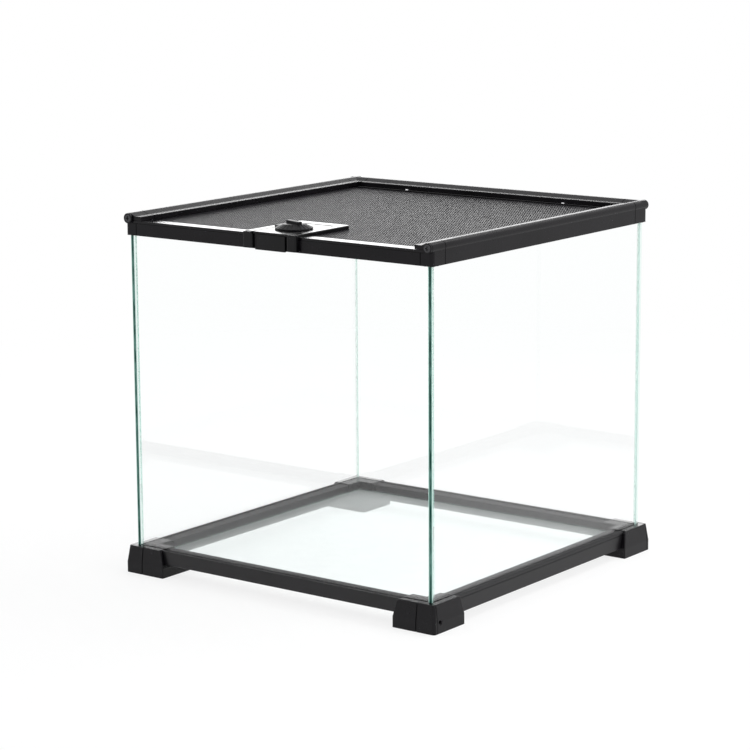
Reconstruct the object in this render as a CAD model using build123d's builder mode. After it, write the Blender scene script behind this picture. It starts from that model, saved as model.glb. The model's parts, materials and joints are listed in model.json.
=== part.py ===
from build123d import *
import os
from math import acos, atan2, cos, hypot, sin

os.makedirs("parts", exist_ok=True)

# Glass terrarium with a sliding screen lid. Origin: centre of the footprint, on the table.
# X runs to the right, Y to the back, Z up. All sizes are in millimetres.

# ---- Tank ----
tank_width = 300.0  # over the outer faces of the rails
tank_depth = 300.0
seam = 0.6  # visible joint between two mouldings

# ---- Glass ----
glass_thickness = 3.0
pane_height = 272.5
pane_seat = 12.0  # height of the panes' lower edges above the table
pane_inset = 2.8  # outer face of a rail to the outer face of the glass
channel_play = 0.2  # glass to each wall of its channel
pane_gap = 0.2  # side pane to the front or back pane
floor_edge_play = 0.3  # floor pane to the inner walls of the base rails

# ---- Base rails ----
base_web = 1.5  # thickness under the glass
front_base_top = 21.9
side_base_top = 22.1
side_skirt_drop = 2.6  # the side rails reach lower than the front and back ones
side_skirt_thickness = 1.8
base_lip_top = 21.5
base_lip_width = 9.0
base_lip_wall = 1.6
floor_ledge_width = 5.0
groove_height = 18.8
groove_width = 0.5
groove_depth = 0.5
side_base_bevel_height = 1.5
side_base_bevel_depth = 1.0
rail_edge_radius = 0.5

# ---- Top rails ----
top_channel_depth = 8.0
top_inner_wall = 1.8
top_web = 1.7  # between the glass and the lid's slot
lid_ledge_reach = 13.0  # outer face to the ledge's edge
lid_ledge_thickness = 2.0
slot_start = 7.4  # outer face to the bottom of the lid's slot
lip_reach = 16.2
lip_thickness = 3.3
lip_flat_start = 10.0
bead_radius = 4.2
bead_inset = 3.7
bead_drop = 1.8  # bead axis below the top of the lip
front_web_reach = 11.5

# ---- Corner caps and their screws ----
front_cap_width = 10.8
front_cap_leg = 15.7  # along the side rail
back_cap_leg = 18.0  # along both rails
cap_corner_radius = 3.0
boss_radius = 4.06
boss_proud = 1.75
screw_head_radius = 3.0
screw_shank_radius = 1.25
screw_bore_play = 0.05
screw_length = 14.0
drive_width = 0.9
drive_length = 3.4
drive_depth = 1.1
countersink_angle = 90.0

# ---- Lid ----
lid_thickness = 2.0
slot_play = 0.2  # lid bar to the floor and to the roof of its slot
lid_side_play = 0.4
lid_front_inset = 0.3
lid_front_bar_width = 11.3
lid_side_bar_width = 7.7
lid_back_bar_width = 12.4
lid_edge_radius = 0.4
screen_thickness = 0.7
screen_lift = 0.2  # underside of the bars to the underside of the screen
screen_grip = 5.0  # how far the screen reaches into the bars
mesh_columns = 12  # a plain grid of openings stands for the screen's fine punching
mesh_rows = 11
mesh_open_ratio = 0.53  # side of an opening to its pitch, as open as the punching
rivet_head_radius = 1.4
rivet_head_height = 0.6
rivet_head_taper = 30.0
rivet_shank_radius = 0.8
rivet_setback = 10.0  # back edge of the lid to the rivets
rivet_places = (-80.0, 80.0)

# ---- Hatch frame ----
hatch_half_width = 25.0
hatch_front = -2.5  # ahead of the rail's face where negative
hatch_back = 66.0
hatch_top_rise = 1.9  # above the lid's bars
hatch_corner_radius = 4.0
hatch_rim_radius = 0.8
plug_wall = 4.0  # part of the frame that sits in the screen's hole
screen_hole_play = 0.1
skirt_half_width = 26.0
skirt_proud = 4.1
skirt_rise = 0.8  # underside of the front rail to the underside of the skirt
skirt_gap = 0.3  # behind the skirt, to the front rail
skirt_web = 1.0
skirt_corner_radius = 1.5
skirt_top_drop = 0.3

# ---- Front plate ----
plate_half_width = 14.5
plate_proud = 3.0
plate_side_gap = 2.3
plate_top_gap = 0.3  # under the front edge of the door
plate_drop = 0.9  # the plate hangs a little lower than the skirt
plate_rim_width = 0.7
plate_rim_depth = 0.25

# ---- Hatch door ----
door_half_width = 16.8
door_side_gap = 0.6
door_thickness = 1.6
door_lift = 0.2  # lid's front bar to the door
door_edge_radius = 0.3
hinge_line = 53.3  # behind the rail's face
barrel_back_gap = 0.5
hinge_pin_radius = 0.8
hinge_play = 0.05
hinge_pin_seat = 3.0  # how far the pin reaches into the frame at each end

# ---- Latch ----
knob_x = 1.0
knob_line = 25.5  # behind the rail's face
knob_radius = 14.8
knob_lift = 0.25
knob_rim_height = 0.8
knob_height = 3.7
knob_crown_radius = 8.3
knob_rib_count = 24
knob_rib_width = 0.9
knob_rib_depth = 0.35
pointer_reach = 17.2
pointer_width = 5.0
pointer_height = 1.6
grip_length = 17.0
grip_width = 4.0
grip_height = 2.2
grip_turn = -19.0
grip_edge_radius = 0.6
shaft_radius = 3.0
shaft_play = 0.05
shaft_square = 3.6
pawl_thickness = 1.6
pawl_gap = 0.3  # door to pawl, and pawl to the roof of its pocket
pawl_width = 7.0
pawl_reach = 19.0
pocket_play = 0.4

# ---- Feet ----
foot_proud = 4.4
foot_length = 39.3
foot_height = 22.4
foot_straight = 8.5  # height up to which the sides stay upright
foot_outer_draft = 1.8
foot_end_draft = 3.4
foot_corner_radius = 2.5
foot_end_radius = 3.0
foot_edge_radius = 0.8
foot_inner_lip = 1.2
foot_socket = 6.0
socket_play = 0.1
foot_cap_width = 16.8
foot_cap_depth = 3.9
foot_cap_seam = 0.8  # the groove that shows beside the cap
dimple_radius = 1.5
dimple_ring_radius = 2.4
dimple_ring_depth = 0.4
dimple_depth = 2.5
dimple_setback = 3.2
dimple_height = 8.7

# ---- Silicone ----
corner_bead = 1.6
floor_bead_width = 2.2
floor_bead_height = 1.4

# ---- Derived places ----
half_width = tank_width / 2
half_depth = tank_depth / 2
front_face = -half_depth
channel_start = pane_inset - channel_play
channel_end = pane_inset + glass_thickness + channel_play
inner_face = pane_inset + glass_thickness  # of a pane, from the rail's outer face
pane_top = pane_seat + pane_height
floor_top = pane_seat + glass_thickness

base_under = pane_seat - base_web
base_inner = channel_end + base_lip_width
base_ledge_end = base_inner + floor_ledge_width

top_rail_bottom = pane_top - top_channel_depth
top_wall_end = channel_end + top_inner_wall
slot_floor = pane_top + top_web
slot_roof = slot_floor + lid_thickness + 2 * slot_play
lip_top = slot_roof + lip_thickness
bead_height = lip_top - bead_drop

lid_bottom = slot_floor + slot_play
lid_top = lid_bottom + lid_thickness
lid_half_width = half_width - slot_start - lid_side_play
lid_back = half_depth - slot_start - lid_side_play
lid_front = front_face + lid_front_inset
front_bar_back = lid_front + lid_front_bar_width
screen_bottom = lid_bottom + screen_lift
screen_top = screen_bottom + screen_thickness

door_bottom = lid_top + door_lift
door_top = door_bottom + door_thickness
hatch_top = lid_top + hatch_top_rise
opening_half_width = door_half_width + door_side_gap
skirt_bottom = top_rail_bottom + skirt_rise
barrel_radius = door_thickness
hinge_y = front_face + hinge_line
opening_back = hinge_y + barrel_radius + barrel_back_gap
plug_half_width = opening_half_width + plug_wall
plug_front = front_bar_back + screen_hole_play
plug_back = opening_back + plug_wall
knob_y = front_face + knob_line
knob_bottom = hatch_top + knob_lift
pawl_top = door_bottom - pawl_gap
pawl_bottom = pawl_top - pawl_thickness

foot_outer = half_width + foot_proud
foot_outer_y = half_depth + foot_proud
foot_end = foot_outer - foot_length
foot_end_y = foot_outer_y - foot_length
rail_end_x = foot_end + foot_socket
rail_end_y = foot_end_y + foot_socket
foot_inner = base_inner + foot_inner_lip


# ---- Section planes: x points into the tank, y points up ----
def left_plane(y):
    return Plane(origin=(-half_width, y, 0), x_dir=(1, 0, 0), z_dir=(0, -1, 0))


def front_plane(x):
    return Plane(origin=(x, -half_depth, 0), x_dir=(0, 1, 0), z_dir=(1, 0, 0))


def back_plane(x):
    return Plane(origin=(x, half_depth, 0), x_dir=(0, -1, 0), z_dir=(-1, 0, 0))


def span(x0, x1, y0, y1):
    """A rectangle between two corners, added to the sketch that is open."""
    with Locations(((x0 + x1) / 2, (y0 + y1) / 2)):
        return Rectangle(abs(x1 - x0), abs(y1 - y0))


def block(x0, x1, y0, y1, z0, z1):
    """A free-standing box between two corners."""
    size = (abs(x1 - x0), abs(y1 - y0), abs(z1 - z0))
    centre = ((x0 + x1) / 2, (y0 + y1) / 2, (z0 + z1) / 2)
    return Solid.make_box(*size, Plane(Vector(*centre) - Vector(*size) / 2))


def write(piece, name):
    piece.label = name
    export_step(piece, f"parts/{name}.step")


# ---- Glass panes ----
with BuildPart() as front_glass:
    with BuildSketch(Plane.XY.offset(pane_seat)):
        with Locations((0, front_face + pane_inset + glass_thickness / 2)):
            Rectangle(2 * (half_width - inner_face - pane_gap), glass_thickness)
    extrude(amount=pane_height)
write(front_glass.part, "front_glass")

with BuildPart() as back_glass:
    mirror(front_glass.part, about=Plane.XZ)
write(back_glass.part, "back_glass")

with BuildPart() as left_glass:
    with BuildSketch(Plane.XY.offset(pane_seat)):
        with Locations((-half_width + pane_inset + glass_thickness / 2, 0)):
            Rectangle(glass_thickness, 2 * (half_depth - pane_inset))
    extrude(amount=pane_height)
write(left_glass.part, "left_glass")

with BuildPart() as right_glass:
    mirror(left_glass.part, about=Plane.YZ)
write(right_glass.part, "right_glass")

floor_half_width = half_width - base_inner - floor_edge_play
floor_half_depth = half_depth - base_inner - floor_edge_play
with BuildPart() as floor_glass:
    with BuildSketch(Plane.XY.offset(pane_seat)):
        Rectangle(2 * floor_half_width, 2 * floor_half_depth)
    extrude(amount=glass_thickness)
write(floor_glass.part, "floor_glass")


# ---- Base rails ----
def base_rail_profile(plane, rail_top):
    """Channel for the pane, hollow lip inside it and a ledge under the floor pane."""
    with BuildSketch(plane) as profile:
        span(0, base_ledge_end, base_under, pane_seat)
        span(0, channel_start, base_under, rail_top)
        span(channel_end, base_inner, base_under, base_lip_top)
        hollow_start = channel_end + base_lip_wall
        hollow_end = base_inner - base_lip_wall
        with Locations(((hollow_start + hollow_end) / 2, pane_seat)):
            Rectangle(
                hollow_end - hollow_start,
                base_lip_top - base_lip_wall - pane_seat,
                align=(Align.CENTER, Align.MIN),
                mode=Mode.SUBTRACT,
            )
        lip_corner = profile.vertices().sort_by_distance((base_inner, base_lip_top))[0]
        fillet(lip_corner, rail_edge_radius)
    return profile.sketch


def side_base_profile(plane):
    """The side rails have a deeper skirt, a groove and a bevelled shoulder."""
    with BuildSketch(plane) as profile:
        add(base_rail_profile(Plane.XY, side_base_top))
        span(0, side_skirt_thickness, base_under - side_skirt_drop, base_under)
        with Locations((groove_depth / 2, groove_height + groove_width / 2)):
            Rectangle(groove_depth, groove_width, mode=Mode.SUBTRACT)
        with BuildLine():
            Polyline(
                (0, side_base_top),
                (0, side_base_top - side_base_bevel_height),
                (side_base_bevel_depth, side_base_top),
                close=True,
            )
        make_face(mode=Mode.SUBTRACT)
    return profile.sketch


with BuildPart() as front_base_rail:
    extrude(base_rail_profile(front_plane(-rail_end_x), front_base_top), amount=2 * rail_end_x)
    bottom_edge = front_base_rail.edges().filter_by(Axis.X)
    fillet(bottom_edge.sort_by_distance((0, front_face, base_under))[0], rail_edge_radius)
write(front_base_rail.part, "front_base_rail")

with BuildPart() as back_base_rail:
    mirror(front_base_rail.part, about=Plane.XZ)
write(back_base_rail.part, "back_base_rail")

with BuildPart() as left_base_rail:
    extrude(side_base_profile(left_plane(rail_end_y)), amount=2 * rail_end_y)
write(left_base_rail.part, "left_base_rail")

with BuildPart() as right_base_rail:
    mirror(left_base_rail.part, about=Plane.YZ)
write(right_base_rail.part, "right_base_rail")


# ---- Top rails ----
def bead_touch_point():
    """Where the slope from the lip's flat meets the bead as a tangent."""
    run = lip_flat_start - bead_inset
    angle = atan2(bead_drop, run) + acos(bead_radius / hypot(run, bead_drop))
    return (bead_inset + bead_radius * cos(angle), bead_height + bead_radius * sin(angle))


def top_rail_profile(plane):
    """Glass channel, lid ledge, lid slot and lip, with the round bead on the outside."""
    with BuildSketch(plane) as profile:
        with BuildLine():
            Polyline(
                (0, top_rail_bottom),
                (channel_start, top_rail_bottom),
                (channel_start, pane_top),
                (channel_end, pane_top),
                (channel_end, top_rail_bottom),
                (top_wall_end, top_rail_bottom),
                (top_wall_end, slot_floor - lid_ledge_thickness),
                (lid_ledge_reach, slot_floor - lid_ledge_thickness),
                (lid_ledge_reach, slot_floor),
                (slot_start, slot_floor),
                (slot_start, slot_roof),
                (lip_reach, slot_roof),
                (lip_reach, lip_top),
                (lip_flat_start, lip_top),
                bead_touch_point(),
                (bead_inset, bead_height),
                (0, bead_height),
                close=True,
            )
        make_face()
        with Locations((bead_inset, bead_height)):
            Circle(bead_radius)
            Circle(screw_shank_radius + screw_bore_play, mode=Mode.SUBTRACT)
        for corner in ((0, top_rail_bottom), (lip_reach, lip_top)):
            fillet(profile.vertices().sort_by_distance(corner)[0], rail_edge_radius)
        with Locations(((slot_start + lip_reach) / 2, (slot_floor + slot_roof) / 2)):
            Rectangle(lip_reach - slot_start, slot_roof - slot_floor, mode=Mode.SUBTRACT)
    return profile.sketch


def front_rail_profile(plane):
    """The front rail is low, so that the lid slides out over it."""
    with BuildSketch(plane) as profile:
        span(0, channel_start, top_rail_bottom, slot_floor)
        span(channel_end, top_wall_end, top_rail_bottom, slot_floor)
        span(0, front_web_reach, pane_top, slot_floor)
        fillet(profile.vertices().sort_by_distance((0, top_rail_bottom))[0], rail_edge_radius)
    return profile.sketch


front_rail_end = half_width - front_cap_width - seam
side_rail_front = front_face + front_cap_leg + seam
side_rail_back = half_depth - back_cap_leg - seam
back_rail_end = half_width - back_cap_leg - seam

with BuildPart() as front_top_rail:
    extrude(front_rail_profile(front_plane(-front_rail_end)), amount=2 * front_rail_end)
write(front_top_rail.part, "front_top_rail")

with BuildPart() as left_top_rail:
    extrude(top_rail_profile(left_plane(side_rail_back)), amount=side_rail_back - side_rail_front)
write(left_top_rail.part, "left_top_rail")

with BuildPart() as right_top_rail:
    mirror(left_top_rail.part, about=Plane.YZ)
write(right_top_rail.part, "right_top_rail")

with BuildPart() as back_top_rail:
    extrude(top_rail_profile(back_plane(back_rail_end)), amount=2 * back_rail_end)
write(back_top_rail.part, "back_top_rail")


# ---- Top corner caps, made for the left side and mirrored ----
def corner_round(y_side):
    """The sliver that rounds the upright left corner, front (-1) or back (+1)."""
    corner = Vector(-half_width, y_side * half_depth)
    centre = corner + Vector(cap_corner_radius, -y_side * cap_corner_radius)
    with BuildSketch(Plane.XY.offset(top_rail_bottom)) as sliver:
        span(corner.X, centre.X, corner.Y, centre.Y)
        with Locations((centre.X, centre.Y)):
            Circle(cap_corner_radius, mode=Mode.SUBTRACT)
    return sliver.sketch


def glass_corner(y_side, reach_x, reach_y):
    """Room for the two panes that meet at the left corner."""
    edge = y_side * half_depth
    outer_x = -half_width + channel_start
    outer_y = edge - y_side * channel_start
    levels = (top_rail_bottom, pane_top)
    side_room = block(
        outer_x, -half_width + channel_end, outer_y, edge - y_side * reach_y, *levels
    )
    face_room = block(
        outer_x, -half_width + reach_x, outer_y, edge - y_side * channel_end, *levels
    )
    return [side_room, face_room]


def bead_axis_plane(y_side):
    """On the boss's face, looking outwards along the left bead."""
    origin = (-half_width + bead_inset, y_side * (half_depth + boss_proud), bead_height)
    return Plane(origin=origin, x_dir=(1, 0, 0), z_dir=(0, y_side, 0))


def bead_end(y_side, leg):
    """The bead's end in a cap, with the boss that stands proud of the face."""
    with BuildPart() as end:
        with BuildSketch(bead_axis_plane(y_side)):
            Circle(boss_radius)
        extrude(amount=-(boss_proud + leg))
        with BuildSketch(bead_axis_plane(y_side).offset(-boss_proud)):
            Circle(bead_radius)
        extrude(amount=-leg)
    return end.part


def drill_screw_hole(y_side):
    with Locations(bead_axis_plane(y_side).location):
        CounterSinkHole(
            screw_shank_radius + screw_bore_play,
            screw_head_radius + screw_bore_play,
            counter_sink_angle=countersink_angle,
        )


with BuildPart() as front_left_cap:
    extrude(top_rail_profile(left_plane(front_face + front_cap_leg)), amount=front_cap_leg)
    extrude(front_rail_profile(front_plane(-half_width)), amount=front_cap_width)
    extrude(corner_round(-1), amount=bead_height - top_rail_bottom, mode=Mode.SUBTRACT)
    add(bead_end(-1, front_cap_leg))
    add(glass_corner(-1, lid_ledge_reach, front_cap_leg), mode=Mode.SUBTRACT)
    lid_room = block(
        -half_width + slot_start,
        -half_width + lip_reach,
        front_face,
        front_face + front_cap_leg,
        slot_floor,
        slot_roof,
    )
    add(lid_room, mode=Mode.SUBTRACT)
    front_rail_room = block(
        -half_width + front_cap_width,
        -half_width + lid_ledge_reach,
        front_face,
        front_face + front_web_reach + seam,
        slot_floor - lid_ledge_thickness,
        slot_floor,
    )
    add(front_rail_room, mode=Mode.SUBTRACT)
    drill_screw_hole(-1)
write(front_left_cap.part, "front_left_cap")

with BuildPart() as front_right_cap:
    mirror(front_left_cap.part, about=Plane.YZ)
write(front_right_cap.part, "front_right_cap")

with BuildPart() as back_left_cap:
    extrude(top_rail_profile(left_plane(half_depth)), amount=back_cap_leg)
    extrude(top_rail_profile(back_plane(-half_width + back_cap_leg)), amount=back_cap_leg)
    extrude(corner_round(1), amount=bead_height - top_rail_bottom, mode=Mode.SUBTRACT)
    add(bead_end(1, back_cap_leg))
    add(glass_corner(1, back_cap_leg, back_cap_leg), mode=Mode.SUBTRACT)
    lid_corner_room = block(
        -half_width + slot_start,
        -half_width + back_cap_leg,
        half_depth - back_cap_leg,
        half_depth - slot_start,
        slot_floor,
        slot_roof,
    )
    add(lid_corner_room, mode=Mode.SUBTRACT)
    drill_screw_hole(1)
write(back_left_cap.part, "back_left_cap")

with BuildPart() as back_right_cap:
    mirror(back_left_cap.part, about=Plane.YZ)
write(back_right_cap.part, "back_right_cap")


# ---- Frame screws, one in each boss ----
def frame_screw(y_side):
    """Countersunk cross-head screw in the left boss."""
    plane = bead_axis_plane(y_side)
    sink_depth = screw_head_radius - screw_shank_radius
    with BuildPart() as screw:
        with BuildSketch(plane):
            Circle(screw_head_radius)
        with BuildSketch(plane.offset(-sink_depth)):
            Circle(screw_shank_radius)
        loft()
        with BuildSketch(plane.offset(-sink_depth)):
            Circle(screw_shank_radius)
        extrude(amount=sink_depth - screw_length)
        with BuildSketch(plane):
            Rectangle(drive_width, drive_length)
            Rectangle(drive_length, drive_width)
        extrude(amount=-drive_depth, mode=Mode.SUBTRACT)
    return screw.part


with BuildPart() as frame_screws:
    for y_side in (-1, 1):
        add(frame_screw(y_side))
        mirror(frame_screw(y_side), about=Plane.YZ)
write(frame_screws.part, "frame_screws")


# ---- Feet, made for the front left corner and mirrored ----
def is_end_corner(edge):
    """True for the rising edges where the foot's ends meet its outer faces."""
    place = edge.center()
    from_end = min(abs(place.X + foot_end), abs(place.Y + foot_end_y))
    from_outside = min(abs(place.X + foot_outer), abs(place.Y + foot_outer_y))
    rise = edge.bounding_box().size.Z
    return from_end < foot_end_draft + foot_end_radius and from_outside < foot_proud and rise > 0.1


def foot_block():
    """Upright below and drafted above, with its outer upright corner rounded."""
    levels = ((foot_straight, 0, 0), (foot_height, foot_outer_draft, foot_end_draft))
    with BuildPart() as blank:
        for height, outer_draft, end_draft in levels:
            with BuildSketch(Plane.XY.offset(height)) as outline:
                span(
                    -foot_outer + outer_draft,
                    -foot_end - end_draft,
                    -foot_outer_y + outer_draft,
                    -foot_end_y - end_draft,
                )
                corner = outline.vertices().sort_by_distance((-foot_outer, -foot_outer_y))[0]
                fillet(corner, foot_corner_radius)
        loft(ruled=True)
        extrude(blank.faces().sort_by(Axis.Z)[0], amount=foot_straight)
        top_edges = blank.faces().sort_by(Axis.Z)[-1].edges()
        end_edges = top_edges.sort_by_distance((0, 0, foot_height))[0:2]
        fillet(end_edges, foot_end_radius)
        fillet(blank.edges().filter_by(is_end_corner), foot_edge_radius)
    return blank.part


def rail_socket(profile_plane, rail_top, skirt_drop):
    """Section of the room that the end of a base rail needs in a foot."""
    with BuildSketch(profile_plane) as room:
        low = base_under - socket_play
        span(-socket_play, base_ledge_end + socket_play, low, pane_seat)
        span(-socket_play, channel_start, low, rail_top + socket_play)
        span(channel_end, base_inner + socket_play, low, base_lip_top + socket_play)
        span(-socket_play, side_skirt_thickness + socket_play, low - skirt_drop, low)
    return room.sketch


def foot_cap_room(side_gap, back_gap):
    """The part of the foot that its end cap takes."""
    return block(
        -foot_outer - foot_proud,
        -foot_outer + foot_cap_width + side_gap,
        -foot_outer_y - foot_proud,
        -foot_outer_y + foot_cap_depth + back_gap,
        0,
        foot_height,
    )


with BuildPart() as front_left_foot:
    add(foot_block())
    socket_length = foot_socket + socket_play
    front_socket = rail_socket(front_plane(-rail_end_x - socket_play), front_base_top, 0)
    extrude(front_socket, amount=socket_length, mode=Mode.SUBTRACT)
    side_socket = rail_socket(left_plane(-foot_end_y), side_base_top, side_skirt_drop)
    extrude(side_socket, amount=socket_length, mode=Mode.SUBTRACT)
    tank_room = block(
        -half_width + foot_inner, -foot_end, -half_depth + foot_inner, -foot_end_y,
        pane_seat, foot_height,
    )
    floor_room = block(
        -floor_half_width - socket_play, -foot_end, -floor_half_depth - socket_play,
        -foot_end_y, pane_seat, floor_top + socket_play,
    )
    side_pane_room = block(
        -half_width + channel_start, -half_width + channel_end,
        -half_depth + channel_start, -foot_end_y, pane_seat, foot_height,
    )
    front_pane_room = block(
        -half_width + channel_start, -foot_end,
        -half_depth + channel_start, -half_depth + channel_end, pane_seat, foot_height,
    )
    add([tank_room, floor_room, side_pane_room, front_pane_room], mode=Mode.SUBTRACT)
    add(foot_cap_room(foot_cap_seam, seam), mode=Mode.SUBTRACT)
write(front_left_foot.part, "front_left_foot")

with BuildPart() as front_left_foot_cap:
    add(foot_block())
    add(foot_cap_room(0, 0), mode=Mode.INTERSECT)
write(front_left_foot_cap.part, "front_left_foot_cap")


def cut_dimple(x_side, y_side):
    """Ringed screw hole in the side face of a foot, in the part that is open."""
    origin = (x_side * foot_outer, y_side * (half_depth - dimple_setback), dimple_height)
    with Locations(Plane(origin=origin, x_dir=(0, 1, 0), z_dir=(x_side, 0, 0)).location):
        CounterBoreHole(
            dimple_radius, dimple_ring_radius, dimple_ring_depth, depth=dimple_depth
        )


with BuildPart() as front_right_foot:
    mirror(front_left_foot.part, about=Plane.YZ)
    cut_dimple(1, -1)
write(front_right_foot.part, "front_right_foot")

with BuildPart() as back_left_foot:
    mirror(front_left_foot.part, about=Plane.XZ)
    cut_dimple(-1, 1)
write(back_left_foot.part, "back_left_foot")

with BuildPart() as back_right_foot:
    mirror(mirror(front_left_foot.part, about=Plane.XZ, mode=Mode.PRIVATE), about=Plane.YZ)
write(back_right_foot.part, "back_right_foot")

with BuildPart() as front_right_foot_cap:
    mirror(front_left_foot_cap.part, about=Plane.YZ)
write(front_right_foot_cap.part, "front_right_foot_cap")

with BuildPart() as back_left_foot_cap:
    mirror(front_left_foot_cap.part, about=Plane.XZ)
write(back_left_foot_cap.part, "back_left_foot_cap")

with BuildPart() as back_right_foot_cap:
    mirror(front_right_foot_cap.part, about=Plane.XZ)
write(back_right_foot_cap.part, "back_right_foot_cap")


# ---- Silicone ----
with BuildPart() as corner_silicone:
    with BuildSketch(Plane.XY.offset(foot_height)):
        with BuildLine():
            corner_x = -half_width + inner_face
            corner_y = -half_depth + inner_face
            Polyline(
                (corner_x, corner_y),
                (corner_x + corner_bead, corner_y),
                (corner_x, corner_y + corner_bead),
                close=True,
            )
        make_face()
    extrude(amount=top_rail_bottom - foot_height)
    mirror(about=Plane.YZ)
    mirror(about=Plane.XZ)
write(corner_silicone.part, "corner_silicone")

with BuildPart() as floor_silicone:
    with BuildSketch(Plane.XY.offset(floor_top)):
        Rectangle(2 * (half_width - foot_inner), 2 * (half_depth - foot_inner))
        Rectangle(2 * foot_end, 2 * (half_depth - base_inner))
        Rectangle(2 * (half_width - base_inner), 2 * foot_end_y)
        offset(amount=-floor_bead_width, kind=Kind.INTERSECTION, mode=Mode.SUBTRACT)
    extrude(amount=floor_bead_height)
write(floor_silicone.part, "floor_silicone")


# ---- Lid: four bars round a screen ----
screen_half_width = lid_half_width - lid_side_bar_width + screen_grip
screen_front = front_bar_back - screen_grip
back_bar_front = lid_back - lid_back_bar_width
screen_back = back_bar_front + screen_grip
screen_blank = block(
    -screen_half_width, screen_half_width, screen_front, screen_back, screen_bottom, screen_top
)
rivet_y = lid_back - rivet_setback
rivet_points = [(x, rivet_y) for x in rivet_places]
mesh_pitch_x = 2 * (lid_half_width - lid_side_bar_width) / mesh_columns
mesh_pitch_y = (back_bar_front - front_bar_back) / mesh_rows
mesh_points = [
    (mesh_pitch_x * (column + 0.5 - mesh_columns / 2), front_bar_back + mesh_pitch_y * (row + 0.5))
    for column in range(mesh_columns)
    for row in range(mesh_rows)
]


def under_hatch_frame(x, y):
    return abs(x) < hatch_half_width and y < front_face + hatch_back


def lid_bar(x0, x1, y0, y1):
    """A bar of the lid with its groove for the screen."""
    with BuildPart() as bar:
        with BuildSketch(Plane.XY.offset(lid_bottom)):
            span(x0, x1, y0, y1)
        extrude(amount=lid_thickness)
        fillet(bar.faces().sort_by(Axis.Z)[-1].edges(), lid_edge_radius)
        add(screen_blank, mode=Mode.SUBTRACT)
    return bar.part


with BuildPart() as lid_front_bar:
    add(lid_bar(-lid_half_width, lid_half_width, lid_front, front_bar_back))
write(lid_front_bar.part, "lid_front_bar")

with BuildPart() as lid_left_bar:
    bar_inner = -lid_half_width + lid_side_bar_width
    add(lid_bar(-lid_half_width, bar_inner, front_bar_back, back_bar_front))
write(lid_left_bar.part, "lid_left_bar")

with BuildPart() as lid_right_bar:
    mirror(lid_left_bar.part, about=Plane.YZ)
write(lid_right_bar.part, "lid_right_bar")

with BuildPart() as lid_back_bar:
    add(lid_bar(-lid_half_width, lid_half_width, back_bar_front, lid_back))
    with Locations(*[(x, y, lid_top) for x, y in rivet_points]):
        Hole(rivet_shank_radius)
write(lid_back_bar.part, "lid_back_bar")

with BuildPart() as lid_screen:
    add(screen_blank)
    with Locations(*[(x, y, screen_top) for x, y in rivet_points]):
        Hole(rivet_shank_radius)
    with BuildSketch(Plane.XY.offset(screen_bottom)):
        hole_half_width = plug_half_width + screen_hole_play
        span(-hole_half_width, hole_half_width, front_bar_back, plug_back + screen_hole_play)
        with Locations(*[p for p in mesh_points if not under_hatch_frame(*p)]):
            Rectangle(mesh_open_ratio * mesh_pitch_x, mesh_open_ratio * mesh_pitch_y)
    extrude(amount=screen_thickness, mode=Mode.SUBTRACT)
write(lid_screen.part, "lid_screen")

with BuildPart() as lid_rivets:
    with BuildSketch(Plane.XY.offset(lid_bottom)):
        with Locations(*rivet_points):
            Circle(rivet_shank_radius)
    extrude(amount=lid_thickness)
    with BuildSketch(Plane.XY.offset(lid_top)):
        with Locations(*rivet_points):
            Circle(rivet_head_radius)
    extrude(amount=rivet_head_height, taper=rivet_head_taper)
write(lid_rivets.part, "lid_rivets")


# ---- Hatch frame, with the pull that hangs over the front rail ----
hinge_z = door_top - barrel_radius
skirt_back = front_face - skirt_gap
skirt_front = front_face - skirt_proud
recess_half_width = plate_half_width + plate_side_gap
recess_depth = skirt_proud - skirt_gap - skirt_web
pin_end = opening_half_width + hinge_pin_seat


def hinge_rod(radius, half_length):
    """A rod on the hinge's axis."""
    with BuildPart() as rod:
        with BuildSketch(Plane(origin=(-half_length, hinge_y, hinge_z), z_dir=(1, 0, 0))):
            Circle(radius)
        extrude(amount=2 * half_length)
    return rod.part


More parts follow.
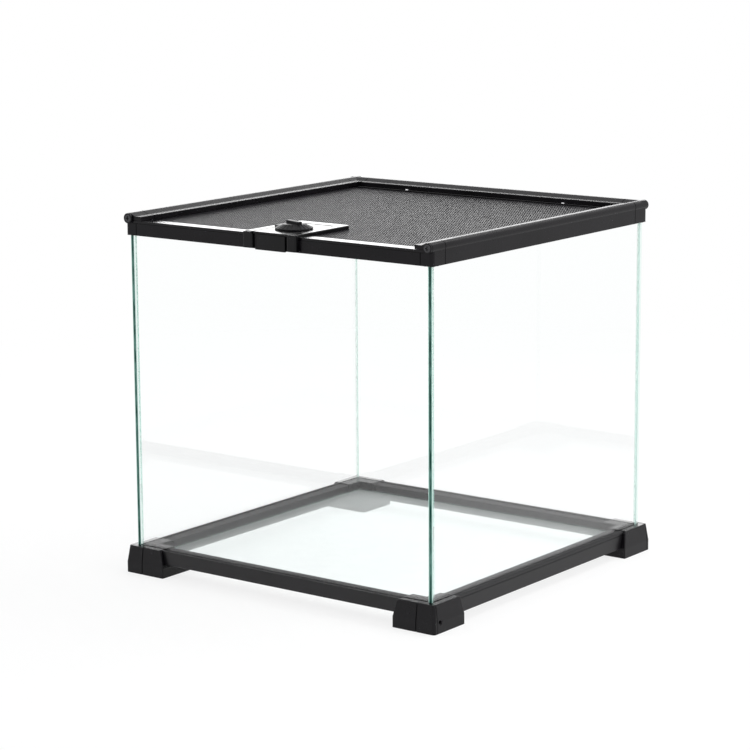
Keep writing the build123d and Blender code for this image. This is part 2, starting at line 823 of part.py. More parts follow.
with BuildPart() as hatch_frame:
    with BuildSketch(Plane.XY.offset(screen_top)) as flange:
        span(-hatch_half_width, hatch_half_width, front_face + hatch_front, front_face + hatch_back)
        fillet(flange.vertices().group_by(Axis.Y)[-1], hatch_corner_radius)
    extrude(amount=hatch_top - screen_top)
    fillet(hatch_frame.faces().sort_by(Axis.Z)[-1].edges(), hatch_rim_radius)
    with BuildSketch(Plane.XY.offset(skirt_bottom)) as skirt:
        span(-skirt_half_width, skirt_half_width, skirt_front, skirt_back)
        with Locations((0, skirt_front)):
            Rectangle(
                2 * recess_half_width,
                recess_depth,
                align=(Align.CENTER, Align.MIN),
                mode=Mode.SUBTRACT,
            )
        fillet(skirt.vertices().group_by(Axis.Y)[0], skirt_corner_radius)
    extrude(amount=hatch_top - skirt_top_drop - skirt_bottom)
    with BuildSketch(Plane.XY.offset(screen_bottom)):
        span(-plug_half_width, plug_half_width, plug_front, plug_back)
    extrude(amount=screen_top - screen_bottom)
    bar_room = block(
        -hatch_half_width, hatch_half_width, skirt_back, front_bar_back, screen_top, lid_top
    )
    door_room = block(
        -opening_half_width, opening_half_width, skirt_front, opening_back, lid_top, hatch_top
    )
    hatch_hole = block(
        -opening_half_width, opening_half_width, front_bar_back, opening_back,
        screen_bottom, lid_top,
    )
    plate_room = block(
        -recess_half_width, recess_half_width, skirt_front, skirt_front + recess_depth,
        screen_top, lid_top,
    )
    pawl_sweep = hypot(pawl_reach, pawl_width / 2)
    pocket_entry = opening_half_width - knob_x
    pocket_back = knob_y + (pawl_sweep**2 - pocket_entry**2) ** 0.5 + pocket_play
    pawl_pocket = block(
        opening_half_width, knob_x + pawl_sweep + pocket_play,
        knob_y - pawl_width / 2 - pocket_play, pocket_back, screen_bottom, door_bottom,
    )
    add([bar_room, door_room, hatch_hole, plate_room, pawl_pocket], mode=Mode.SUBTRACT)
    add(hinge_rod(hinge_pin_radius, pin_end), mode=Mode.SUBTRACT)
write(hatch_frame.part, "hatch_frame")

with BuildPart() as hinge_pin:
    add(hinge_rod(hinge_pin_radius, pin_end))
write(hinge_pin.part, "hinge_pin")

with BuildPart() as front_plate:
    plate_bottom = skirt_bottom - plate_drop
    plate_top = door_bottom - plate_top_gap
    plate_plane = Plane.XZ.offset(-front_face + skirt_gap + skirt_web)
    with BuildSketch(plate_plane):
        span(-plate_half_width, plate_half_width, plate_bottom, plate_top)
    extrude(amount=plate_proud - skirt_gap - skirt_web)
    with BuildSketch(Plane.XZ.offset(-front_face + plate_proud)):
        span(
            -plate_half_width + plate_rim_width,
            plate_half_width - plate_rim_width,
            plate_bottom + plate_rim_width,
            plate_top - plate_rim_width,
        )
    extrude(amount=-plate_rim_depth, mode=Mode.SUBTRACT)
write(front_plate.part, "front_plate")

# ---- Hatch door ----
with BuildPart() as hatch_door:
    with BuildSketch(Plane.XY.offset(door_bottom)):
        span(-door_half_width, door_half_width, front_face + hatch_front, hinge_y)
    extrude(amount=door_thickness)
    rim_edges = hatch_door.faces().sort_by(Axis.Z)[-1].edges().sort_by(Axis.Y)[:-1]
    fillet(rim_edges, door_edge_radius)
    add(hinge_rod(barrel_radius, door_half_width))
    add(hinge_rod(hinge_pin_radius + hinge_play, door_half_width), mode=Mode.SUBTRACT)
    with Locations((knob_x, knob_y, door_top)):
        Hole(shaft_radius + shaft_play)
write(hatch_door.part, "hatch_door")

# ---- Latch ----
knob_top = knob_bottom + knob_height
knob_axis = Axis((knob_x, knob_y, 0), (0, 0, 1))


def rib_gap(turn):
    """One of the shallow grooves that run down the knob's slope."""
    slope_run = knob_radius - knob_crown_radius
    slope_drop = knob_height - knob_rim_height
    slope_plane = Plane(
        origin=(knob_x + knob_crown_radius, knob_y, knob_top),
        x_dir=(slope_run, 0, -slope_drop),
        z_dir=(slope_drop, 0, slope_run),
    )
    with BuildPart() as gap:
        with BuildSketch(slope_plane):
            with Locations((slope_run / 2 + knob_rib_width, 0)):
                Rectangle(slope_run, knob_rib_width)
        extrude(amount=knob_rib_depth, both=True)
    return gap.part.rotate(knob_axis, turn)


with BuildPart() as latch_knob:
    dome_plane = Plane(origin=(knob_x, knob_y, knob_bottom), x_dir=(1, 0, 0), z_dir=(0, -1, 0))
    with BuildSketch(dome_plane):
        with BuildLine():
            Polyline(
                (0, 0),
                (knob_radius, 0),
                (knob_radius, knob_rim_height),
                (knob_crown_radius, knob_height),
                (0, knob_height),
                close=True,
            )
        make_face()
    revolve(axis=knob_axis)
    turns = [rib * 360 / knob_rib_count for rib in range(knob_rib_count)]
    add([rib_gap(turn) for turn in turns], mode=Mode.SUBTRACT)
    with BuildSketch(Plane.XY.offset(knob_bottom)):
        with Locations((knob_x, knob_y)):
            span(-pointer_reach, 0, -pointer_width / 2, pointer_width / 2)
    extrude(amount=pointer_height)
    with BuildSketch(Plane.XY.offset(knob_bottom + knob_rim_height)):
        with Locations((knob_x, knob_y)):
            RectangleRounded(grip_length, grip_width, grip_edge_radius, rotation=grip_turn)
    extrude(amount=knob_height - knob_rim_height + grip_height)
    fillet(latch_knob.faces().sort_by(Axis.Z)[-1].edges(), grip_edge_radius)
    with BuildSketch(Plane.XY.offset(pawl_top)):
        with Locations((knob_x, knob_y)):
            Circle(shaft_radius)
    extrude(amount=knob_bottom - pawl_top)
    with BuildSketch(Plane.XY.offset(pawl_bottom)):
        with Locations((knob_x, knob_y)):
            Rectangle(shaft_square, shaft_square)
    extrude(amount=pawl_thickness)
write(latch_knob.part, "latch_knob")

with BuildPart() as latch_pawl:
    with BuildSketch(Plane.XY.offset(pawl_bottom)):
        with Locations((knob_x, knob_y)):
            Circle(pawl_width / 2 + shaft_play)
            Rectangle(pawl_width, pawl_reach, align=(Align.CENTER, Align.MIN))
            Rectangle(shaft_square, shaft_square, mode=Mode.SUBTRACT)
    extrude(amount=pawl_thickness)
write(latch_pawl.part, "latch_pawl")
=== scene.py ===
import json
import math

import bpy
import numpy as np
from mathutils import Matrix, Vector


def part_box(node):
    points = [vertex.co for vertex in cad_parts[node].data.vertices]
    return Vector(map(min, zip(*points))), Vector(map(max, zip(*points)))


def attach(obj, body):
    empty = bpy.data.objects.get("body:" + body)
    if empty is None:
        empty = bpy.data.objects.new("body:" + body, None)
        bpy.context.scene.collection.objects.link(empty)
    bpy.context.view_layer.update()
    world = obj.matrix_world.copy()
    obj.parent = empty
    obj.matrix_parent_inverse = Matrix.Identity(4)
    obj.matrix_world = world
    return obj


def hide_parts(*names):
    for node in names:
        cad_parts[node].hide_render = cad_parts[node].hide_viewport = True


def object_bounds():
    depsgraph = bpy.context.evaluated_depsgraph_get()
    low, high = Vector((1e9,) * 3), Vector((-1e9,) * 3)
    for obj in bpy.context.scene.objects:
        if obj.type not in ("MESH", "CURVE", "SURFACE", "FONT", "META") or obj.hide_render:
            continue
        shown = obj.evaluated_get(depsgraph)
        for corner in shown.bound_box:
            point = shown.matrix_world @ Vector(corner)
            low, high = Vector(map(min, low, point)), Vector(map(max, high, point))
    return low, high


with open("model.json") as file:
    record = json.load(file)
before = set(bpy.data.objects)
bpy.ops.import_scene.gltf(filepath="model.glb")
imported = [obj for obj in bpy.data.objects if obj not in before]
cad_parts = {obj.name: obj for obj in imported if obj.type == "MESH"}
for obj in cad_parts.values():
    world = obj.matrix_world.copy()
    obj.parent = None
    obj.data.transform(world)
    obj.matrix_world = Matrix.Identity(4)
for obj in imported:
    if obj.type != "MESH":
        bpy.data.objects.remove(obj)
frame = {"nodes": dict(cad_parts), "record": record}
cad_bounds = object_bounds()
nodes = frame["nodes"]
scene = bpy.context.scene
scene.view_settings.view_transform = "Standard"
MM = 0.001
WHITE = (1.0, 1.0, 1.0)

# ---- Camera: the photograph's viewing angle ----
CAMERA_PLACE = Vector((1.2394, -1.6653, 0.5629))
CAMERA_AZIMUTH = math.radians(37.012)
CAMERA_PITCH = math.radians(11.093)
CAMERA_ROLL = math.radians(-0.34)
CAMERA_SENSOR = 36.0  # mm
CAMERA_LENS = 124.6  # mm
CAMERA_NEAREST, CAMERA_FARTHEST = 0.05, 60.0  # m


def make_camera():
    """The camera stands in front and to the right, and looks down a little."""
    data = bpy.data.cameras.new("camera")
    data.sensor_width = CAMERA_SENSOR
    data.lens = CAMERA_LENS
    data.clip_start, data.clip_end = CAMERA_NEAREST, CAMERA_FARTHEST
    camera = bpy.data.objects.new("camera", data)
    turn = (
        Matrix.Rotation(CAMERA_AZIMUTH, 4, "Z")
        @ Matrix.Rotation(math.pi / 2 - CAMERA_PITCH, 4, "X")
        @ Matrix.Rotation(CAMERA_ROLL, 4, "Z")
    )
    camera.matrix_world = Matrix.Translation(CAMERA_PLACE) @ turn
    scene.collection.objects.link(camera)
    scene.camera = camera


# ---- Node helpers: values ----
def new_tree(name):
    """A material with an empty node tree, and its output node."""
    material = bpy.data.materials.new(name)
    material.use_nodes = True
    tree = material.node_tree
    tree.nodes.clear()
    return material, tree, tree.nodes.new("ShaderNodeOutputMaterial")


def set_inputs(node, **values):
    """Sets a node's sockets by name, with _ for a space."""
    for name, value in values.items():
        node.inputs[name.replace("_", " ")].default_value = value
    return node


def place_node(tree):
    """Texture coordinates in metres of the row frame, which move with the piece."""
    return tree.nodes.new("ShaderNodeTexCoord").outputs["Object"]


def normal_node(tree):
    """The surface's direction in the piece's own axes."""
    return tree.nodes.new("ShaderNodeTexCoord").outputs["Normal"]


def noise(tree, scale, detail, rough, stretch=None):
    """A noise pattern with scale features per metre; stretch scales it along each axis."""
    place = place_node(tree)
    if stretch:
        mapping = set_inputs(tree.nodes.new("ShaderNodeMapping"), Scale=stretch)
        tree.links.new(place, mapping.inputs["Vector"])
        place = mapping.outputs["Vector"]
    node = tree.nodes.new("ShaderNodeTexNoise")
    set_inputs(node, Scale=scale, Detail=detail, Roughness=rough)
    tree.links.new(place, node.inputs["Vector"])
    return node.outputs["Fac"]


def ramp(tree, value, source, target):
    """Maps value from the source range to the target range, clamped."""
    node = tree.nodes.new("ShaderNodeMapRange")
    set_inputs(node, From_Min=source[0], From_Max=source[1], To_Min=target[0], To_Max=target[1])
    tree.links.new(value, node.inputs["Value"])
    return node.outputs["Result"]


def arithmetic(tree, operation, *values):
    """A sum, product or the like of one or two values, each a socket or a number."""
    node = tree.nodes.new("ShaderNodeMath")
    node.operation = operation
    for socket, value in zip(node.inputs, values):
        if isinstance(value, bpy.types.NodeSocket):
            tree.links.new(value, socket)
        else:
            socket.default_value = value
    return node.outputs["Value"]


def along(tree, vector, direction):
    """How much of a vector points along a fixed direction."""
    node = tree.nodes.new("ShaderNodeVectorMath")
    node.operation = "DOT_PRODUCT"
    node.inputs[1].default_value = direction
    tree.links.new(vector, node.inputs[0])
    return node.outputs["Value"]


def colour_mix(tree, factor, first, second):
    """A colour between first and second."""
    node = tree.nodes.new("ShaderNodeMix")
    node.data_type = "RGBA"
    set_inputs(node, A=(*first, 1.0), B=(*second, 1.0))
    tree.links.new(factor, node.inputs["Factor"])
    return node.outputs["Result"]


def bump(tree, height, distance):
    """A bump of that height in metres."""
    node = set_inputs(tree.nodes.new("ShaderNodeBump"), Distance=distance)
    tree.links.new(height, node.inputs["Height"])
    return node.outputs["Normal"]


def backfacing(tree):
    """1 where a surface is seen from inside its piece."""
    return tree.nodes.new("ShaderNodeNewGeometry").outputs["Backfacing"]


# ---- Node helpers: shaders ----
def principled(tree, colour=None, roughness=None, normal=None, **values):
    """The standard shader, with its pattern-driven sockets linked and the others set."""
    shader = set_inputs(tree.nodes.new("ShaderNodeBsdfPrincipled"), **values)
    linked = {"Base Color": colour, "Roughness": roughness, "Normal": normal}
    for name, socket in linked.items():
        if socket:
            tree.links.new(socket, shader.inputs[name])
    return shader.outputs["BSDF"]


def mix_shaders(tree, factor, first, second):
    """A shader between first and second."""
    node = tree.nodes.new("ShaderNodeMixShader")
    tree.links.new(factor, node.inputs["Fac"])
    tree.links.new(first, node.inputs[1])
    tree.links.new(second, node.inputs[2])
    return node.outputs["Shader"]


def transparent(tree, colour):
    """Lets light pass straight through, tinted."""
    node = set_inputs(tree.nodes.new("ShaderNodeBsdfTransparent"), Color=(*colour, 1.0))
    return node.outputs["BSDF"]


def diffuse(tree, grey):
    """A dull grey surface."""
    node = set_inputs(tree.nodes.new("ShaderNodeBsdfDiffuse"), Color=(grey, grey, grey, 1.0))
    return node.outputs["BSDF"]


def emission(tree, strength):
    """A surface that glows white."""
    node = tree.nodes.new("ShaderNodeEmission")
    return set_inputs(node, Color=(*WHITE, 1.0), Strength=strength).outputs["Emission"]


def background(tree, colour, strength):
    """Light from all round."""
    node = tree.nodes.new("ShaderNodeBackground")
    return set_inputs(node, Color=(*colour, 1.0), Strength=strength).outputs["Background"]


def clear_for_shadows(tree, solid):
    """Lets lamps shine through a clear material."""
    path = tree.nodes.new("ShaderNodeLightPath")
    return mix_shaders(tree, path.outputs["Is Shadow Ray"], solid, transparent(tree, WHITE))


def direct_view(tree):
    """1 for camera, glossy and transmission rays."""
    path = tree.nodes.new("ShaderNodeLightPath")
    total = path.outputs["Is Camera Ray"]
    for name in ("Is Glossy Ray", "Is Transmission Ray"):
        total = arithmetic(tree, "MAXIMUM", total, path.outputs[name])
    return total


# ---- Plastic and metal ----
PLASTIC_GRAIN = 0.02 * MM
SCREEN_GRAIN = 0.002 * MM
METAL_MARKS = 0.03 * MM
EXTRUDED_BLACK = {"dark": (0.004, 0.0035, 0.0045), "light": (0.008, 0.007, 0.009)}
MOULDED_BLACK = {"dark": (0.004, 0.004, 0.0045), "light": (0.008, 0.0075, 0.009)}
LID_BLACK = {"dark": (0.004, 0.0035, 0.0045), "light": (0.007, 0.006, 0.008)}
# the base's black plastic, painted a little lighter than the top's to stand in for light bounced
# up from the white floor
BASE_BLACK_WITH_PAINTED_BOUNCE = {"dark": (0.005, 0.0045, 0.0055), "light": (0.010, 0.009, 0.011)}
COATED_BLACK = {"dark": (0.010, 0.009, 0.011), "light": (0.016, 0.015, 0.018)}
PLASTICS = {
    "top_plastic": dict(EXTRUDED_BLACK, smooth=0.20, rough=0.34, shine=0.16),
    "base_plastic": dict(BASE_BLACK_WITH_PAINTED_BOUNCE, smooth=0.30, rough=0.42, shine=0.34, dull_top=0.35),
    "foot_plastic": dict(EXTRUDED_BLACK, smooth=0.16, rough=0.30, shine=0.20),
    "lid_plastic": dict(LID_BLACK, smooth=0.07, rough=0.14, shine=0.20),
    "hatch_plastic": dict(MOULDED_BLACK, smooth=0.08, rough=0.16, shine=0.18),
    "latch_plastic": dict(MOULDED_BLACK, smooth=0.28, rough=0.42, shine=0.15),
    "screen_metal": dict(COATED_BLACK, smooth=0.30, rough=0.36, shine=0.11, grain=SCREEN_GRAIN),
}
METALS = {
    "screw_steel": dict(
        dark=(0.02, 0.02, 0.022), light=(0.10, 0.10, 0.105), smooth=0.2, rough=0.4
    ),
    "rivet_aluminium": dict(
        dark=(0.7, 0.7, 0.71), light=(0.86, 0.86, 0.87), smooth=0.2, rough=0.35
    ),
    "pin_steel": dict(
        dark=(0.42, 0.42, 0.44), light=(0.6, 0.6, 0.62), smooth=0.2, rough=0.3,
        stretch=(0.1, 1.0, 1.0),
    ),
}


def plastic(name, dark, light, smooth, rough, shine, dull_top=0.0, grain=PLASTIC_GRAIN):
    """Black plastic or coating with a fine grain, faint streaks and uneven gloss.

    Roughness runs from smooth to rough, and dull_top is added to it where the piece faces up.
    """
    material, tree, output = new_tree(name)
    streaks = noise(tree, scale=38.0, detail=4.0, rough=0.6)
    roughness = ramp(tree, streaks, (0.25, 0.75), (smooth, rough))
    if dull_top:
        split = tree.nodes.new("ShaderNodeSeparateXYZ")
        tree.links.new(normal_node(tree), split.inputs["Vector"])
        dullness = ramp(tree, split.outputs["Z"], (0.3, 0.9), (0.0, dull_top))
        roughness = arithmetic(tree, "ADD", roughness, dullness)
    shader = principled(
        tree,
        colour=colour_mix(tree, ramp(tree, streaks, (0.3, 0.7), (0.0, 1.0)), dark, light),
        roughness=roughness,
        normal=bump(tree, noise(tree, scale=2600.0, detail=2.0, rough=0.6), grain),
        Specular_IOR_Level=shine,
    )
    tree.links.new(shader, output.inputs["Surface"])
    return material


def metal(name, dark, light, smooth, rough, stretch=None):
    """Bare metal with drawn or turned marks."""
    material, tree, output = new_tree(name)
    marks = noise(tree, scale=900.0, detail=4.0, rough=0.6, stretch=stretch)
    shader = principled(
        tree,
        colour=colour_mix(tree, marks, dark, light),
        roughness=ramp(tree, marks, (0.3, 0.7), (smooth, rough)),
        normal=bump(tree, marks, METAL_MARKS),
        Metallic=1.0,
    )
    tree.links.new(shader, output.inputs["Surface"])
    return material


# ---- Glass and silicone ----
GLASS_IOR = 1.5
GLASS_WAVES = 0.02 * MM
GLASS_TINT, GLASS_TINT_DENSITY = (0.30, 0.85, 0.78), 3.0
EDGE_SEEN_THROUGH = (0.86, 0.95, 0.92)
# where the painted highlight along a cut edge's arrises begins and where it is full
ARRIS_HIGHLIGHT_FROM, ARRIS_HIGHLIGHT_TO = 0.55, 0.85  # of half a pane's thickness, from its middle plane
MOST_FLECKS = 0.35
DUST_DARK, DUST_PALE = (0.86, 0.92, 0.91), (0.93, 0.97, 0.96)
DUST_THIN, DUST_THICK = 0.03, 0.62  # the film's cover, seen from straight above and at a low angle
BUBBLE_DEPTH = 0.2 * MM


def cut_edge_mask(tree, across):
    """1 on a pane's cut edges, 0 on its two large faces; across is its thin direction."""
    facing = arithmetic(tree, "ABSOLUTE", along(tree, normal_node(tree), across))
    return ramp(tree, facing, (0.4, 0.6), (1.0, 0.0))


def offset_across(tree, across, middle):
    """How far a point lies from a pane's middle plane, which is that far from the origin."""
    reach = arithmetic(tree, "ABSOLUTE", along(tree, place_node(tree), across))
    return arithmetic(tree, "ABSOLUTE", arithmetic(tree, "SUBTRACT", reach, middle))


def clear_body(tree):
    """Clear glass with the faintest waviness."""
    waves = noise(tree, scale=9.0, detail=2.0, rough=0.5)
    return principled(
        tree,
        normal=bump(tree, waves, GLASS_WAVES),
        Base_Color=(*WHITE, 1.0),
        Roughness=0.0,
        IOR=GLASS_IOR,
        Transmission_Weight=1.0,
    )


def dusty_body(tree):
    """Clear glass that lies flat: a film of dust veils what is under it, most at a low angle."""
    dust = ramp(tree, noise(tree, scale=60.0, detail=4.0, rough=0.6), (0.3, 0.7), (0.0, 1.0))
    film = principled(
        tree,
        colour=colour_mix(tree, dust, DUST_DARK, DUST_PALE),
        roughness=ramp(tree, dust, (0.0, 1.0), (0.42, 0.5)),
        IOR=GLASS_IOR,
        Specular_IOR_Level=0.5,
    )
    angle = set_inputs(tree.nodes.new("ShaderNodeFresnel"), IOR=GLASS_IOR).outputs["Fac"]
    veil = ramp(tree, angle, (0.04, 0.45), (DUST_THIN, DUST_THICK))
    from_outside = arithmetic(tree, "SUBTRACT", 1.0, backfacing(tree))
    cover = arithmetic(tree, "MULTIPLY", veil, from_outside)
    return mix_shaders(tree, cover, transparent(tree, (0.99, 1.0, 1.0)), film)


def ground_edge(tree, pane, across, dark, pale):
    """A pane's cut edge: dark in the middle, pale towards its two arrises as a painted highlight
    along them, and flecked.
    """
    low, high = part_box(pane)
    thin = Vector(across)
    middle = abs(thin.dot(low + high)) / 2
    half = thin.dot(high - low) / 2
    offset = offset_across(tree, across, middle)
    # painted highlight: the edge turns pale towards its arrises
    arris_highlight = ramp(tree, offset, (ARRIS_HIGHLIGHT_FROM * half, ARRIS_HIGHLIGHT_TO * half), (0.0, 1.0))
    specks = noise(tree, scale=260.0, detail=3.0, rough=0.7, stretch=(1.0, 1.0, 0.25))
    flecks = ramp(tree, specks, (0.42, 0.62), (0.0, MOST_FLECKS))
    return principled(
        tree,
        colour=colour_mix(tree, arithmetic(tree, "MAXIMUM", arris_highlight, flecks), dark, pale),
        roughness=ramp(tree, flecks, (0.0, MOST_FLECKS), (0.15, 0.3)),
        Specular_IOR_Level=0.2,
    )


def float_glass(name, pane, across, dark, pale, make_body):
    """Clear float glass with ground edges: green from outside, light from within the pane."""
    material, tree, output = new_tree(name)
    edge = mix_shaders(
        tree,
        backfacing(tree),
        ground_edge(tree, pane, across, dark, pale),
        transparent(tree, EDGE_SEEN_THROUGH),
    )
    whole = mix_shaders(tree, cut_edge_mask(tree, across), make_body(tree), edge)
    tree.links.new(clear_for_shadows(tree, whole), output.inputs["Surface"])
    tint = tree.nodes.new("ShaderNodeVolumeAbsorption")
    set_inputs(tint, Color=(*GLASS_TINT, 1.0), Density=GLASS_TINT_DENSITY)
    tree.links.new(tint.outputs["Volume"], output.inputs["Volume"])
    return material


def clear_silicone():
    """Cured clear silicone: nearly invisible, with small bubbles in it, painted dark as shade in
    their pits.
    """
    material, tree, output = new_tree("clear_silicone")
    bubbles = set_inputs(tree.nodes.new("ShaderNodeTexVoronoi"), Scale=520.0)
    tree.links.new(place_node(tree), bubbles.inputs["Vector"])
    # 1 in the bubbles: shapes their bump, gloss and cover, and paints them dark as painted shade
    pits_and_painted_shade = ramp(tree, bubbles.outputs["Distance"], (0.12, 0.3), (1.0, 0.0))
    shader = principled(
        tree,
        colour=colour_mix(tree, pits_and_painted_shade, (0.80, 0.90, 0.87), (0.16, 0.24, 0.22)),
        roughness=ramp(tree, pits_and_painted_shade, (0.0, 1.0), (0.15, 0.4)),
        normal=bump(tree, pits_and_painted_shade, BUBBLE_DEPTH),
    )
    cover = ramp(tree, pits_and_painted_shade, (0.0, 1.0), (0.14, 0.5))
    body = mix_shaders(tree, cover, transparent(tree, (0.97, 1.0, 0.99)), shader)
    tree.links.new(clear_for_shadows(tree, body), output.inputs["Surface"])
    return material


# ---- The material of each slot and of each pane ----
# the dark middle of a cut edge, and the pale of its painted arris highlight and of its flecks
EDGE_DARK, EDGE_HIGHLIGHT_AND_FLECKS = (0.003, 0.055, 0.038), (0.36, 0.72, 0.62)
JOINT_DARK, JOINT_HIGHLIGHT_AND_FLECKS = (0.42, 0.60, 0.55), (0.72, 0.86, 0.82)
PANES = {  # the thin direction of each pane, the colours of its cut edges, and its body
    "front_glass": ((0.0, 1.0, 0.0), JOINT_DARK, JOINT_HIGHLIGHT_AND_FLECKS, clear_body),
    "back_glass": ((0.0, 1.0, 0.0), JOINT_DARK, JOINT_HIGHLIGHT_AND_FLECKS, clear_body),
    "left_glass": ((1.0, 0.0, 0.0), EDGE_DARK, EDGE_HIGHLIGHT_AND_FLECKS, clear_body),
    "right_glass": ((1.0, 0.0, 0.0), EDGE_DARK, EDGE_HIGHLIGHT_AND_FLECKS, clear_body),
    "floor_glass": ((0.0, 0.0, 1.0), JOINT_DARK, JOINT_HIGHLIGHT_AND_FLECKS, dusty_body),
}
pane_materials = {pane: float_glass(pane + "_clear", pane, *look) for pane, look in PANES.items()}
materials = {
    "silicone": clear_silicone(),
    **{name: plastic(name, **look) for name, look in PLASTICS.items()},
    **{name: metal(name, **look) for name, look in METALS.items()},
}


def dress_nodes():
    """Gives every CAD node its pane's material, or else the one of its slot in the record."""
    for part in frame["record"]["subparts"]:
        for slot in nodes[part["node"]].material_slots:
            slot.material = pane_materials.get(part["node"]) or materials[part["material_slot"]]


# ---- Perforated screen ----
HOLE_PITCH = 2.14 * MM  # along a row of holes
ROW_PITCH = 1.98 * MM  # from row to row; each row is shifted by half a pitch
HOLE_RADIUS = 0.95 * MM  # to the corners of a hole
HOLE_CORNERS = 6
FIRST_CORNER = 30  # degrees from the row's direction
HATCH_PLUG_HALF = 21.5 * MM  # half width of the hatch frame's part inside the screen
HATCH_PLUG_SETBACK = 6.5 * MM  # back edge of the hatch frame to that part
SCREEN_EDGE = 0.1 * MM  # the sheet stays at least this far inside its CAD node
HATCH_HOLE_MARGIN = 0.1 * MM  # and this far from the plug of the hatch frame


def hole_centres(low, high):
    """The centres of the staggered holes: x and y, by row and column."""
    rows = int((high.y - low.y - 2 * HOLE_RADIUS) / ROW_PITCH) + 1
    columns = int((high.x - low.x - 2 * HOLE_RADIUS - HOLE_PITCH / 2) / HOLE_PITCH) + 1
    row, column = np.mgrid[0:rows, 0:columns]
    x = (column + 0.5 * (row % 2) - 0.5 * (columns - 0.5)) * HOLE_PITCH
    y = (row - 0.5 * (rows - 1)) * ROW_PITCH + (low.y + high.y) / 2
    return x, y


def hatch_gap(x, y):
    """Which holes are left out for the hatch frame's plug, behind the front bar."""
    room = HATCH_HOLE_MARGIN + HOLE_RADIUS
    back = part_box("hatch_frame")[1].y - HATCH_PLUG_SETBACK + room
    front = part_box("lid_front_bar")[1].y - room
    return (np.abs(x) < HATCH_PLUG_HALF + room) & (y < back) & (y > front)


def hole_corners(x, y, levels):
    """The corners of all the holes, on each level in turn."""
    turn = np.radians(FIRST_CORNER + 360 / HOLE_CORNERS * np.arange(HOLE_CORNERS))
    ring_x = (x[..., None] + HOLE_RADIUS * np.cos(turn)).ravel()
    ring_y = (y[..., None] + HOLE_RADIUS * np.sin(turn)).ravel()
    return np.vstack([
        np.column_stack([ring_x, ring_y, np.full(ring_x.size, level)]) for level in levels
    ])


def neighbour(corner, punched, step_row, step_column):
    """Each hole's neighbour so many rows and columns on: its corners, and if both are punched."""
    rows, columns = punched.shape
    row, column = np.mgrid[0:rows, 0:columns]
    shift = step_column + (row % 2) * (step_row != 0)
    r, c = row + step_row, column + shift
    inside = (r >= 0) & (r < rows) & (c >= 0) & (c < columns)
    r, c = np.clip(r, 0, rows - 1), np.clip(c, 0, columns - 1)
    return corner[r, c], inside & punched & punched[r, c]


def faces(has, *corners):
    """One face with these corners for each hole that has it."""
    return np.stack([c[has] for c in corners], axis=1)


def sheet_faces(corner, punched):
    """The sheet's upper faces: a bridge between two holes, a joint between three."""
    right, has_right = neighbour(corner, punched, 0, 1)
    upper_right, has_upper_right = neighbour(corner, punched, 1, 0)
    upper_left, has_upper_left = neighbour(corner, punched, 1, -1)
    own = [corner[..., i] for i in range(HOLE_CORNERS)]
    bridges = np.vstack([
        faces(has_right, own[5], right[..., 3], right[..., 2], own[0]),
        faces(has_upper_right, own[0], upper_right[..., 4], upper_right[..., 3], own[1]),
        faces(has_upper_left, own[1], upper_left[..., 5], upper_left[..., 4], own[2]),
    ])
    joints = np.vstack([
        faces(has_right & has_upper_right, own[0], right[..., 2], upper_right[..., 4]),
        faces(has_upper_right & has_upper_left, own[1], upper_right[..., 3], upper_left[..., 5]),
    ])
    return bridges, joints


def rim_edges(face_groups, count):
    """The edges that only one face has, each in its face's direction."""
    edges = np.vstack([
        np.stack([group[:, i], group[:, (i + 1) % group.shape[1]]], axis=1)
        for group in face_groups
        for i in range(group.shape[1])
    ])
    codes = edges[:, 0].astype(np.int64) * count + edges[:, 1]
    twins = edges[:, 1].astype(np.int64) * count + edges[:, 0]
    return edges[~np.isin(codes, twins)]


def perforated_screen():
    """The lid's screen: one thin sheet with staggered punched holes and a gap for the hatch."""
    low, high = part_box("lid_screen")
    inset = Vector((SCREEN_EDGE, SCREEN_EDGE, 0.0))
    x, y = hole_centres(low + inset, high - inset)
    points = hole_corners(x, y, (high.z, low.z))
    count = x.size * HOLE_CORNERS
    corner = np.arange(count).reshape(*x.shape, HOLE_CORNERS)
    bridges, joints = sheet_faces(corner, ~hatch_gap(x, y))
    rim = rim_edges((bridges, joints), count)
    walls = np.stack([rim[:, 1], rim[:, 0], rim[:, 0] + count, rim[:, 1] + count], axis=1)
    quads = np.vstack([bridges, bridges[:, ::-1] + count, walls])
    triangles = np.vstack([joints, joints[:, ::-1] + count])
    used = np.zeros(2 * count, bool)
    used[quads] = True
    used[triangles] = True
    renumber = np.cumsum(used) - 1
    return mesh_piece("lid_screen_mesh", points[used], renumber[quads], renumber[triangles])


def mesh_piece(name, points, quads, triangles):
    """An object from arrays of points, four-sided and three-sided faces."""
    mesh = bpy.data.meshes.new(name)
    mesh.vertices.add(len(points))
    mesh.vertices.foreach_set("co", points.astype(np.float32).ravel())
    loops = np.concatenate([quads.ravel(), triangles.ravel()]).astype(np.int32)
    mesh.loops.add(len(loops))
    mesh.loops.foreach_set("vertex_index", loops)
    starts = np.concatenate([
        np.arange(len(quads)) * 4,
        len(quads) * 4 + np.arange(len(triangles)) * 3,
    ])
    mesh.polygons.add(len(starts))
    mesh.polygons.foreach_set("loop_start", starts.astype(np.int32))
    mesh.update(calc_edges=True)
    piece = bpy.data.objects.new(name, mesh)
    scene.collection.objects.link(piece)
    return piece


def make_screen():
    """Puts the punched sheet in the place of the CAD screen."""
    screen = perforated_screen()
    screen.data.materials.append(materials["screen_metal"])
    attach(screen, "lid")
    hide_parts("lid_screen")


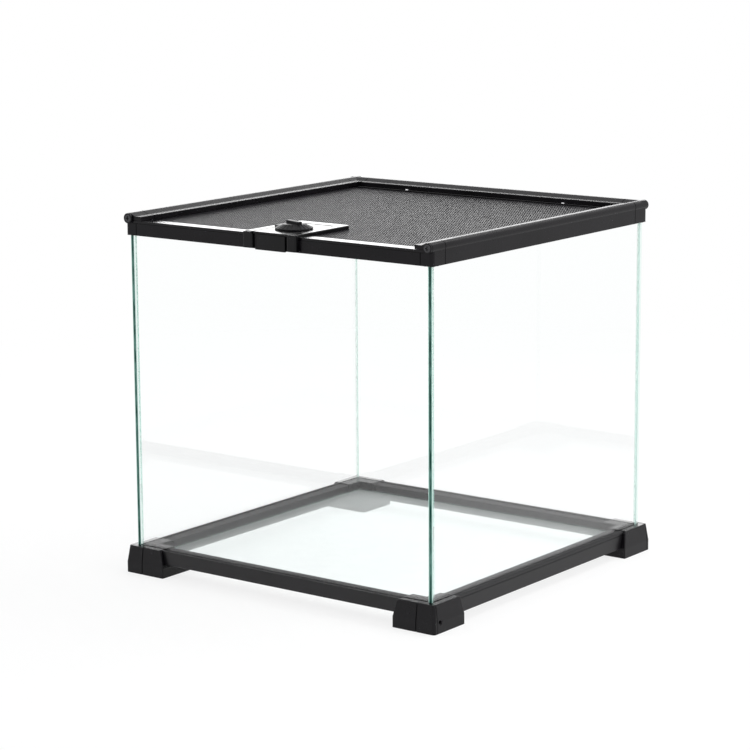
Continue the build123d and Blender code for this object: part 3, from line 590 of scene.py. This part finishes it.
# ---- Studio ----
FLOOR_HALF = 30.0
WHITE_FROM, WHITE_TO = 0.45, 1.1  # metres from the middle where the floor turns plain white
FLOOR_GREY, FLOOR_GLOW = 0.22, 0.80  # the shadow shows in the first and is lifted by the second
FLOOR_BOUNCE = 0.82  # grey of the floor as it lights the object
SKY_COLOUR, SKY_STRENGTH = (0.98, 0.99, 1.0), 0.55
LAMPS = {  # metres and watts
    "key_lamp": dict(place=(0.6, 0.9, 1.9), size=(1.2, 1.2), power=16.0),
    "side_lamp": dict(place=(1.6, 0.3, 0.8), size=(0.9, 0.9), power=8.0),
    "fill_lamp": dict(place=(-1.3, -1.1, 1.3), size=(1.0, 1.0), power=4.0),
    "rim_lamp": dict(place=(-1.57, 2.08, 0.8), size=(2.8, 1.0), power=21.0),
}


def make_floor():
    """A plain pale floor that keeps the object's shadow and runs out into white."""
    mesh = bpy.data.meshes.new("floor")
    corners = [(-1, -1), (1, -1), (1, 1), (-1, 1)]
    points = [(x * FLOOR_HALF, y * FLOOR_HALF, 0.0) for x, y in corners]
    mesh.from_pydata(points, [], [(0, 1, 2, 3)])
    floor = bpy.data.objects.new("floor", mesh)
    scene.collection.objects.link(floor)
    material, tree, output = new_tree("floor")
    lit = tree.nodes.new("ShaderNodeAddShader")
    tree.links.new(diffuse(tree, FLOOR_GREY), lit.inputs[0])
    tree.links.new(emission(tree, FLOOR_GLOW), lit.inputs[1])
    length = tree.nodes.new("ShaderNodeVectorMath")
    length.operation = "LENGTH"
    tree.links.new(place_node(tree), length.inputs[0])
    fade = ramp(tree, length.outputs["Value"], (WHITE_FROM, WHITE_TO), (0.0, 1.0))
    shown = mix_shaders(tree, fade, lit.outputs["Shader"], emission(tree, 1.0))
    surface = mix_shaders(tree, direct_view(tree), diffuse(tree, FLOOR_BOUNCE), shown)
    tree.links.new(surface, output.inputs["Surface"])
    floor.data.materials.append(material)


def make_world():
    """White behind everything that is seen or mirrored, and a plainer light on the object."""
    world = bpy.data.worlds.new("studio")
    scene.world = world
    world.use_nodes = True
    tree = world.node_tree
    tree.nodes.clear()
    output = tree.nodes.new("ShaderNodeOutputWorld")
    light = background(tree, SKY_COLOUR, SKY_STRENGTH)
    sky = mix_shaders(tree, direct_view(tree), light, background(tree, WHITE, 1.0))
    tree.links.new(sky, output.inputs["Surface"])


def area_lamp(name, place, size, power):
    """A soft lamp that looks at the middle of the object."""
    data = bpy.data.lights.new(name, "AREA")
    data.shape = "RECTANGLE"
    data.size, data.size_y = size
    data.energy = power
    lamp = bpy.data.objects.new(name, data)
    aim = (cad_bounds[0] + cad_bounds[1]) / 2 - Vector(place)
    turn = aim.to_track_quat("-Z", "Y").to_matrix().to_4x4()
    lamp.matrix_world = Matrix.Translation(place) @ turn
    lamp.visible_camera = False
    lamp.visible_transmission = False
    scene.collection.objects.link(lamp)


make_camera()
dress_nodes()
make_screen()
make_floor()
make_world()
for lamp_name, lamp_look in LAMPS.items():
    area_lamp(lamp_name, **lamp_look)
